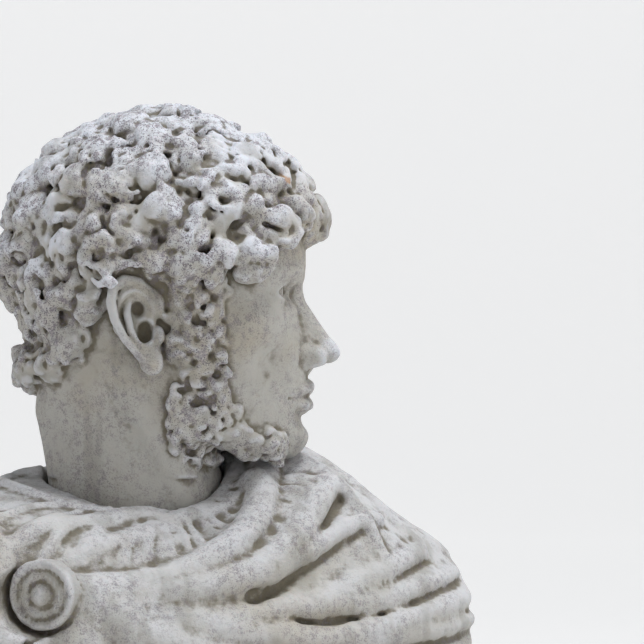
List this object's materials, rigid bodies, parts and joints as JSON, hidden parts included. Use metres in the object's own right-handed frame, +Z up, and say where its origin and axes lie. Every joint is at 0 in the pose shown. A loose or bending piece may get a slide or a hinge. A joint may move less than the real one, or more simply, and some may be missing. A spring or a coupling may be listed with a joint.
{
  "type": "marble bust",
  "caption": "Life-size marble portrait bust with curled hair and a draped chest, on a turned socle and square plinth.",
  "frame": {"origin": "centre of the coupling nut's mouth, in the plane of the plinth's underside", "axes": "+Z up, the chest faces -Y, the wearer's left is +X, and the head is turned to its left"},
  "size_m": [0.46, 0.2493, 0.711],
  "materials": {
    "head_marble": "weathered marble, dark grime in the hollows",
    "chest_marble": "weathered marble",
    "socle_marble": "weathered marble, turned",
    "plinth_marble": "weathered marble, sawn and rubbed",
    "mortar": "lime mortar",
    "bronze": "dull bronze",
    "lead": "dull lead",
    "stainless": "stainless steel"
  },
  "bodies": {
    "root": {"head": "head_marble", "chest": "chest_marble", "neck_mortar_bed": "mortar", "neck_dowel": "bronze", "neck_dowel_lead": "lead", "neck_shims": "lead", "socle_lead_sheet": "lead", "socle": "socle_marble", "plinth_lead_sheet": "lead", "plinth": "plinth_marble", "tie_rod": "stainless", "rod_lead": "lead", "rod_washer": "stainless", "coupling_nut": "stainless"}
  },
  "joints": []
}
